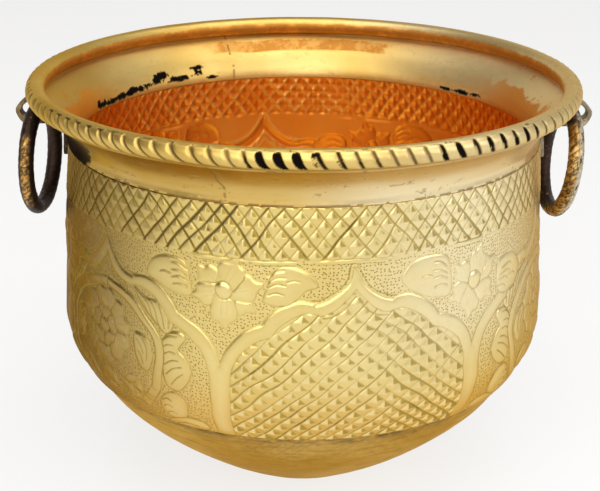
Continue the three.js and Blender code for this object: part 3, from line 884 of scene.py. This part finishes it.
# Cast eyes: the solid of the frame, rounded and roughened as a sand casting
def make_eye(name, node, seed):
    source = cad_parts[node]
    piece = bpy.data.objects.new(name, source.data.copy())
    piece.data.materials.clear()
    bpy.context.scene.collection.objects.link(piece)
    melt = piece.modifiers.new("melt", "REMESH")
    melt.mode, melt.voxel_size, melt.use_smooth_shade = "VOXEL", 0.0006, True
    soften = piece.modifiers.new("soften", "SMOOTH")
    soften.factor, soften.iterations = 0.5, 5
    view = bpy.context.evaluated_depsgraph_get()
    made = bpy.data.meshes.new_from_object(piece.evaluated_get(view))
    piece.modifiers.clear()
    piece.data = made
    made.name = name
    co = np.zeros(len(made.vertices) * 3)
    normal = np.zeros(len(made.vertices) * 3)
    made.vertices.foreach_get("co", co)
    made.vertices.foreach_get("normal", normal)
    co, normal = co.reshape(-1, 3), normal.reshape(-1, 3)
    rng = np.random.default_rng(seed)
    rough = np.zeros(len(co))
    for scale in (170, 170, 330, 330, 620):
        way, start = rng.normal(size=3), rng.random() * 6
        rough += np.sin(co @ (way / np.linalg.norm(way)) * scale * 2 + start) * (60 / scale)
    co += normal * (rough * 0.00014 - 0.00010)[:, None]
    made.vertices.foreach_set("co", co.ravel())
    made.polygons.foreach_set("use_smooth", np.ones(len(made.polygons), bool))
    made.update()
    return piece


class Value:
    """One number of a finish that changes over the surface. Sums on it add Math nodes."""

    def __init__(self, nodes, socket):
        self.nodes, self.socket = nodes, socket

    def maths(self, operation, *terms, clamp=False):
        return self.nodes.add("ShaderNodeMath", {"operation": operation, "use_clamp": clamp},
                              dict(enumerate(terms)))

    def __add__(self, other):
        return self.maths("ADD", self, other)

    def __sub__(self, other):
        return self.maths("SUBTRACT", self, other)

    def __rsub__(self, other):
        return self.maths("SUBTRACT", other, self)

    def __mul__(self, other):
        return self.maths("MULTIPLY", self, other)

    __radd__, __rmul__ = __add__, __mul__

    def kept(self):
        """Held between 0 and 1."""
        return self.maths("ADD", self, 0.0, clamp=True)

    def between(self, low, high):
        """0 below low, 1 above high, smooth between."""
        return self.nodes.add("ShaderNodeMapRange", {"interpolation_type": "SMOOTHSTEP"},
                              {"Value": self, "From Min": low, "From Max": high})

    def most(self, other):
        return self.maths("MAXIMUM", self, other)


class Nodes:
    """A node tree and the ways to add to it."""

    def __init__(self, tree):
        self.tree = tree

    def add(self, kind, settings, inputs, output=0):
        """A node of this type, with its settings and then its sockets' values or links."""
        node = self.tree.nodes.new(kind)
        for key, value in settings.items():
            setattr(node, key, value)
        for key, value in inputs.items():
            self.feed(node.inputs[key], value)
        return Value(self, node.outputs[output])

    def feed(self, socket, value):
        if isinstance(value, Value):
            self.tree.links.new(value.socket, socket)
        else:
            socket.default_value = value

    def blend(self, share, first, second):
        return self.add("ShaderNodeMix", {"data_type": "RGBA"},
                        {0: share, 6: first, 7: second}, 2)

    def layers(self, base, *coats):
        """The base colour under coats, each a share and the colour it turns to."""
        for share, tone in coats:
            base = self.blend(share, base, tone)
        return base


class Finish(Nodes):
    """A node material for one of the planter's finishes."""

    def __init__(self, name):
        self.material = bpy.data.materials.new(name)
        self.material.use_nodes = True
        super().__init__(self.material.node_tree)
        self.shader = self.tree.nodes["Principled BSDF"]
        self.place = self.add("ShaderNodeTexCoord", {}, {}, "Object")

    def mark(self, name):
        """A mark stored on the piece's points."""
        return self.add("ShaderNodeAttribute", {"attribute_name": name}, {}, "Fac")

    def noise(self, scale, detail=3.0, rough=0.5, stretch=None):
        place = self.place
        if stretch:
            place = self.add("ShaderNodeMapping", {}, {"Vector": place, "Scale": stretch})
        return self.add("ShaderNodeTexNoise", {},
                        {"Vector": place, "Scale": scale, "Detail": detail, "Roughness": rough})

    def along(self, axis):
        """Where a point of the piece is along one axis, in metres."""
        return self.add("ShaderNodeSeparateXYZ", {}, {0: self.place}, axis)

    def bump(self, height, distance, strength=1.0):
        return self.add("ShaderNodeBump", {}, {"Height": height, "Distance": distance,
                                               "Strength": strength}, "Normal")

    def coat(self, **sockets):
        """The finished material, from what its shader gets."""
        names = {"base": "Base Color", "rough": "Roughness", "metal": "Metallic",
                 "normal": "Normal", "edge": "Specular Tint"}
        for key, value in sockets.items():
            self.feed(self.shader.inputs[names[key]], value)
        return self.material


def colour(r, g, b):
    return (r, g, b, 1.0)


# What polished brass takes from its surroundings where it is seen at a grazing angle
BRASS_EDGE = colour(0.70, 0.50, 0.28)


def shell_brass():
    f = Finish("shell_brass")
    line, ground = f.mark("line"), f.mark("ground")
    rubbed_and_highlight, inside = f.mark("rubbed_and_highlight"), f.mark("inside")
    broad, fine = f.noise(9, 3), f.noise(160, 4, 0.6)
    side, height = f.along(0), f.along(2)
    # dots of a matting tool in the ground of the ornament, on the unrolled sheet
    around = f.add("ShaderNodeMath", {"operation": "ARCTAN2"}, {0: side, 1: f.along(1) * -1.0})
    sheet_place = f.add("ShaderNodeCombineXYZ", {}, {0: around * (UNROLL / 1000), 1: height})
    dots = f.add("ShaderNodeTexVoronoi", {"voronoi_dimensions": "2D"},
                 {"Vector": sheet_place, "Scale": 420, "Randomness": 0.7}, "Distance")
    pits = (1 - dots.between(0.12, 0.27)) * ground * (1 - inside)
    # more orange towards the bottom: a painted warm reflection
    low = 1 - height.between(0.10, 0.165)
    shaded = 1 - side.between(-0.17, -0.06)
    # pale cream right of the front: painted highlight of the light from the right
    pale = side.between(0.0, 0.11) * height.between(0.12, 0.19)
    # near black high up along the far left edge: painted shade
    left_edge_shade = (1 - side.between(-0.193, -0.184)) * height.between(0.20, 0.23)
    outside = f.layers(
        f.blend(broad.between(0.35, 0.7), colour(0.73, 0.55, 0.17), colour(0.81, 0.65, 0.26)),
        (low * 0.75, colour(0.72, 0.42, 0.10)),
        (shaded * 0.95, colour(0.16, 0.09, 0.045)),
        (pale * 0.75, colour(0.94, 0.84, 0.56)),
        # darker tan at the far right: painted shade
        (side.between(0.12, 0.19) * 0.85, colour(0.56, 0.39, 0.16)),
        (left_edge_shade * 0.85, colour(0.07, 0.035, 0.015)),
        # worn raised parts and the painted highlight, left out of the painted shade on the left
        (rubbed_and_highlight * side.between(-0.16, -0.04), colour(0.90, 0.75, 0.36)),
        (fine.between(0.45, 0.8) * 0.25, colour(0.70, 0.50, 0.20)))
    # the inside is painted deep orange for light reflected round inside the pot, and its ridges
    # get a painted gold highlight
    warm = f.layers(
        f.blend(broad.between(0.3, 0.7), colour(0.95, 0.37, 0.04), colour(0.97, 0.50, 0.09)),
        (line.between(0.0, 0.6) * 0.85, colour(1.0, 0.72, 0.24)))
    line = line * (1 - inside)
    base = f.layers(
        f.blend(inside, outside, warm),
        (pits * 0.75, colour(0.26, 0.17, 0.04)),
        # olive for the lines, and for the painted shade in the punched facets
        (line.between(0.08, 0.5) * 0.8, colour(0.34, 0.24, 0.04)),
        (line.between(0.6, 1.0) * 0.85, colour(0.10, 0.06, 0.02)))
    rough = 0.24 + 0.12 * fine + 0.38 * line + 0.12 * ground + 0.02 * inside
    relief = f.bump(fine * (0.25 - 0.15 * inside) - pits * 0.9, 0.0005, 0.8)
    return f.coat(base=base, rough=rough.kept(), metal=1.0 - 0.25 * line,
                  normal=relief, edge=BRASS_EDGE)


def collar_brass():
    f = Finish("collar_brass")
    line, soot, speck = f.mark("line"), f.mark("soot"), f.mark("speck")
    stain_shade_and_reflection, dull, inside, bead = f.mark("stain_shade_and_reflection"), f.mark("dull"), f.mark("inside"), f.mark("bead")
    broad, fine = f.noise(11, 3), f.noise(210, 4, 0.6)
    brushed = f.noise(36, 4, 0.6, stretch=(1, 1, 5))
    side, outside = f.along(0), 1 - inside
    plain = f.layers(
        f.blend(broad.between(0.35, 0.7), colour(0.64, 0.42, 0.11), colour(0.77, 0.57, 0.21)),
        (brushed.between(0.5, 0.75) * 0.35, colour(0.60, 0.38, 0.10)),
        # pale cream right of the front outside: painted highlight
        (side.between(-0.02, 0.06) * outside * 0.75, colour(0.92, 0.80, 0.52)),
        # darker tan at the far right outside: painted shade
        (side.between(0.13, 0.19) * outside * 0.7, colour(0.55, 0.36, 0.13)),
        # darker brown on the left outside: painted shade
        ((1 - side.between(-0.17, -0.03)) * outside * 0.6, colour(0.36, 0.21, 0.045)),
        # pale gold inside on the right: painted highlight
        (side.between(0.04, 0.16) * inside * 0.9, colour(0.97, 0.80, 0.44)))
    rope = f.layers(
        f.blend(broad.between(0.3, 0.7), colour(0.66, 0.44, 0.11), colour(0.77, 0.57, 0.19)),
        # paler cream towards the right: painted reflection
        (side.between(0.0, 0.12) * 0.6, colour(0.84, 0.72, 0.45)),
        (fine.between(0.4, 0.75) * 0.3, colour(0.56, 0.38, 0.12)))
    base = f.layers(
        f.blend(bead, plain, rope),
        (dull * 0.8, colour(0.52, 0.34, 0.17)),
        (stain_shade_and_reflection * 0.9, colour(0.74, 0.32, 0.05)),
        (line * 0.85, colour(0.12, 0.07, 0.02)),
        (speck * 0.75, colour(0.20, 0.12, 0.05)),
        # soot also holds the dark patina and painted shade behind the left eye
        (soot, colour(0.012, 0.009, 0.007)))
    rough = 0.25 + 0.14 * fine + 0.12 * bead + 0.16 * dull
    rough = rough + 0.3 * line + 0.6 * soot + 0.1 * stain_shade_and_reflection + 0.14 * inside
    relief = f.bump(fine * 0.2 + brushed * 0.3 + soot * 0.6 - speck * 0.5, 0.0004, 0.7)
    metal = 1.0 - 0.1 * soot - 0.5 * speck
    return f.coat(base=base, rough=rough.kept(), metal=metal.kept(),
                  normal=relief, edge=BRASS_EDGE)


def dish_brass():
    f = Finish("dish_brass")
    line, soot, inside = f.mark("line"), f.mark("soot"), f.mark("inside")
    broad, fine = f.noise(14, 4), f.noise(190, 4, 0.6)
    streak = f.noise(60, 4, 0.6, stretch=(1, 1, 7))
    base = f.layers(
        f.blend(broad.between(0.35, 0.7), colour(0.52, 0.31, 0.075), colour(0.66, 0.44, 0.13)),
        (streak.between(0.45, 0.7) * 0.6, colour(0.36, 0.20, 0.05)),
        (fine.between(0.5, 0.8) * 0.3, colour(0.42, 0.26, 0.10)),
        # deep orange inside: painted light reflected round inside the pot
        (inside * 0.8, colour(0.84, 0.48, 0.15)),
        (line * 0.7, colour(0.18, 0.10, 0.04)),
        (soot * 0.8, colour(0.06, 0.04, 0.02)))
    rough = 0.36 + 0.2 * fine + 0.2 * line + 0.2 * soot - 0.08 * inside
    relief = f.bump(fine * 0.4 + broad * 0.3, 0.0004, 0.8)
    return f.coat(base=base, rough=rough.kept(), metal=1.0 - 0.4 * soot,
                  normal=relief, edge=BRASS_EDGE)


def ring_brass():
    f = Finish("ring_brass")
    groove, gold_highlight, pale = f.mark("groove"), f.mark("gold_highlight"), f.mark("pale")
    broad, fine = f.noise(60, 4, 0.6), f.noise(420, 4, 0.65)
    dark = f.blend(fine, colour(0.020, 0.012, 0.010), colour(0.060, 0.032, 0.020))
    bright = f.blend(broad.between(0.3, 0.7), colour(0.60, 0.30, 0.06), colour(0.84, 0.56, 0.20))
    cream = f.blend(fine.between(0.35, 0.65), colour(0.42, 0.34, 0.22), colour(0.74, 0.66, 0.46))
    # gold under the painted highlight and in random specks
    share = gold_highlight.most(fine.between(0.6, 0.72) * broad.between(0.45, 0.6) * 0.55)
    # cream under the painted pale highlight
    base = f.layers(dark, (share, bright), (pale, cream),
                    (groove * 0.9, colour(0.05, 0.028, 0.014)))
    rough = 0.34 + 0.3 * fine - 0.06 * share
    relief = f.bump(fine * 0.7 + broad * 0.5, 0.0006, 0.9)
    return f.coat(base=base, rough=rough.kept(), metal=(0.8 + 0.2 * share).kept(), normal=relief)


def eye_brass():
    f = Finish("eye_brass")
    broad, fine = f.noise(90, 4, 0.6), f.noise(380, 4, 0.65)
    # the right eye is paler than the left one, a painted light from the right
    paler_lit_side = f.along(0).between(-0.1, 0.1)
    dark = f.blend(broad.between(0.35, 0.65), colour(0.05, 0.034, 0.018), colour(0.26, 0.18, 0.08))
    grey = f.blend(broad.between(0.35, 0.65), colour(0.22, 0.18, 0.12), colour(0.52, 0.44, 0.30))
    # near black low on the eyes: painted shade with dark patina
    dark = f.blend(1 - f.along(2).between(0.262, 0.272), dark, colour(0.035, 0.022, 0.013))
    base = f.layers(dark, (paler_lit_side, grey),
                    (fine.between(0.55, 0.72) * 0.6, colour(0.62, 0.48, 0.24)))
    rough = 0.38 + 0.3 * fine
    relief = f.bump(fine * 0.8 + broad * 0.6, 0.0007, 0.9)
    return f.coat(base=base, rough=rough.kept(), metal=0.7, normal=relief)


def rod_iron():
    f = Finish("rod_iron")
    broad, fine = f.noise(70, 4, 0.6), f.noise(500, 4, 0.6)
    base = f.blend(broad.between(0.4, 0.6), colour(0.14, 0.13, 0.12), colour(0.30, 0.20, 0.13))
    relief = f.bump(fine * 0.6 + broad * 0.4, 0.0004, 0.8)
    return f.coat(base=base, rough=(0.5 + 0.3 * fine).kept(), metal=0.7, normal=relief)


def fit(piece, body, material, node):
    piece.data.materials.clear()
    piece.data.materials.append(material)
    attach(piece, body)
    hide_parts(node)


ring_metal, eye_metal = ring_brass(), eye_brass()
fit(make_wall(), "pot", shell_brass(), "wall")
fit(make_dish(), "pot", dish_brass(), "base_dish")
fit(Collar().piece(), "pot", collar_brass(), "collar")
fit(make_eye("cast_eye_left", "handle_eye_left", 61), "pot", eye_metal,
    "handle_eye_left")
fit(make_eye("cast_eye_right", "handle_eye_right", 62), "pot", eye_metal,
    "handle_eye_right")
fit(make_ring("hanging_ring_left", -1), "ring_left", ring_metal, "ring_handle_left")
fit(make_ring("hanging_ring_right", 1), "ring_right", ring_metal,
    "ring_handle_right")
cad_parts["rim_wire"].data.materials.clear()
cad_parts["rim_wire"].data.materials.append(rod_iron())


# Floor, light and camera
def make_floor():
    """A pale floor that turns up into a backdrop far behind."""
    mesh = bpy.data.meshes.new("floor")
    rows = [(-25.0, 0.0), (3.0, 0.0), (3.6, 0.12), (4.1, 0.5), (4.35, 1.1), (4.4, 3.0)]
    points = [(x, y, z - 0.0002) for y, z in rows for x in (-25.0, 25.0)]
    faces = [(2 * k, 2 * k + 1, 2 * k + 3, 2 * k + 2) for k in range(len(rows) - 1)]
    mesh.from_pydata(points, [], faces)
    for face in mesh.polygons:
        face.use_smooth = True
    floor = bpy.data.objects.new("floor", mesh)
    bpy.context.scene.collection.objects.link(floor)
    f = Finish("studio_floor")
    grain = f.noise(30, 3)
    f.coat(base=f.blend(grain, colour(0.86, 0.86, 0.86), colour(0.90, 0.90, 0.90)), rough=0.7,
           metal=0.0)
    # the floor is seen as nearly white, also in the metal, and keeps its shadow
    seen = [f.add("ShaderNodeLightPath", {}, {}, ray)
            for ray in ("Is Camera Ray", "Is Glossy Ray", "Is Transmission Ray")]
    glow = f.add("ShaderNodeEmission", {}, {"Color": colour(1, 1, 1), "Strength": 1.0})
    lit = Value(f, f.shader.outputs[0])
    share = seen[0].most(seen[1]).most(seen[2]) * 0.75
    mixed = f.add("ShaderNodeMixShader", {}, {0: share, 1: lit, 2: glow})
    f.feed(f.tree.nodes["Material Output"].inputs[0], mixed)
    mesh.materials.append(f.material)


def make_lamp(name, place, towards, size, power):
    lamp = bpy.data.lights.new(name, "AREA")
    lamp.shape, lamp.size, lamp.size_y = "RECTANGLE", size[0], size[1]
    lamp.energy = power
    holder = bpy.data.objects.new(name, lamp)
    holder.location = place
    holder.rotation_euler = (Vector(towards) - Vector(place)).to_track_quat("-Z", "Y").to_euler()
    bpy.context.scene.collection.objects.link(holder)


def make_world():
    """Dim warm room light from the left, clearer light from the right."""
    world = bpy.data.worlds.new("studio")
    bpy.context.scene.world = world
    world.use_nodes = True
    room = Nodes(world.node_tree)
    way = room.add("ShaderNodeTexCoord", {}, {}, "Generated")
    across = room.add("ShaderNodeSeparateXYZ", {}, {0: way}, 0)
    tint = room.blend(across.between(-0.9, 0.9),
                      colour(0.13, 0.10, 0.06), colour(0.36, 0.35, 0.33))
    back = room.tree.nodes["Background"]
    room.feed(back.inputs["Color"], tint)
    room.feed(back.inputs["Strength"], 1.0)


# Where the camera stands and what it looks at, in metres, and its turn about its own axis.
# Its focal length is as many times its picture's width as 1363.14 pixels are 600.
CAMERA_PLACE = (0, -0.9696, 0.5447)
CAMERA_AIM = (-0.0023, 0, 0.1709)
CAMERA_ROLL = 0.0051
FOCAL_PIXELS, PICTURE_PIXELS, FILM_WIDTH = 1363.14, 600, 36


def make_camera():
    camera = bpy.data.cameras.new("camera")
    camera.lens, camera.sensor_width = FOCAL_PIXELS / PICTURE_PIXELS * FILM_WIDTH, FILM_WIDTH
    camera.clip_start, camera.clip_end = 0.05, 80
    holder = bpy.data.objects.new("camera", camera)
    holder.location = CAMERA_PLACE
    aim = (Vector(CAMERA_AIM) - holder.location).to_track_quat("-Z", "Y")
    roll = Matrix.Rotation(CAMERA_ROLL, 3, "Z").to_quaternion()
    holder.rotation_mode = "QUATERNION"
    holder.rotation_quaternion = aim @ roll
    bpy.context.scene.collection.objects.link(holder)
    bpy.context.scene.camera = holder


make_floor()
make_world()
make_lamp("key", (-0.5, -2.1, 1.3), (0, 0, 0.15), (3.0, 1.8), 42)
make_lamp("right", (1.9, -1.3, 1.2), (0, 0, 0.15), (1.6, 1.4), 16)
make_lamp("overhead", (0.1, -0.3, 2.0), (0, 0, 0.2), (2.2, 1.6), 27)
make_camera()
bpy.context.scene.view_settings.view_transform = "Standard"
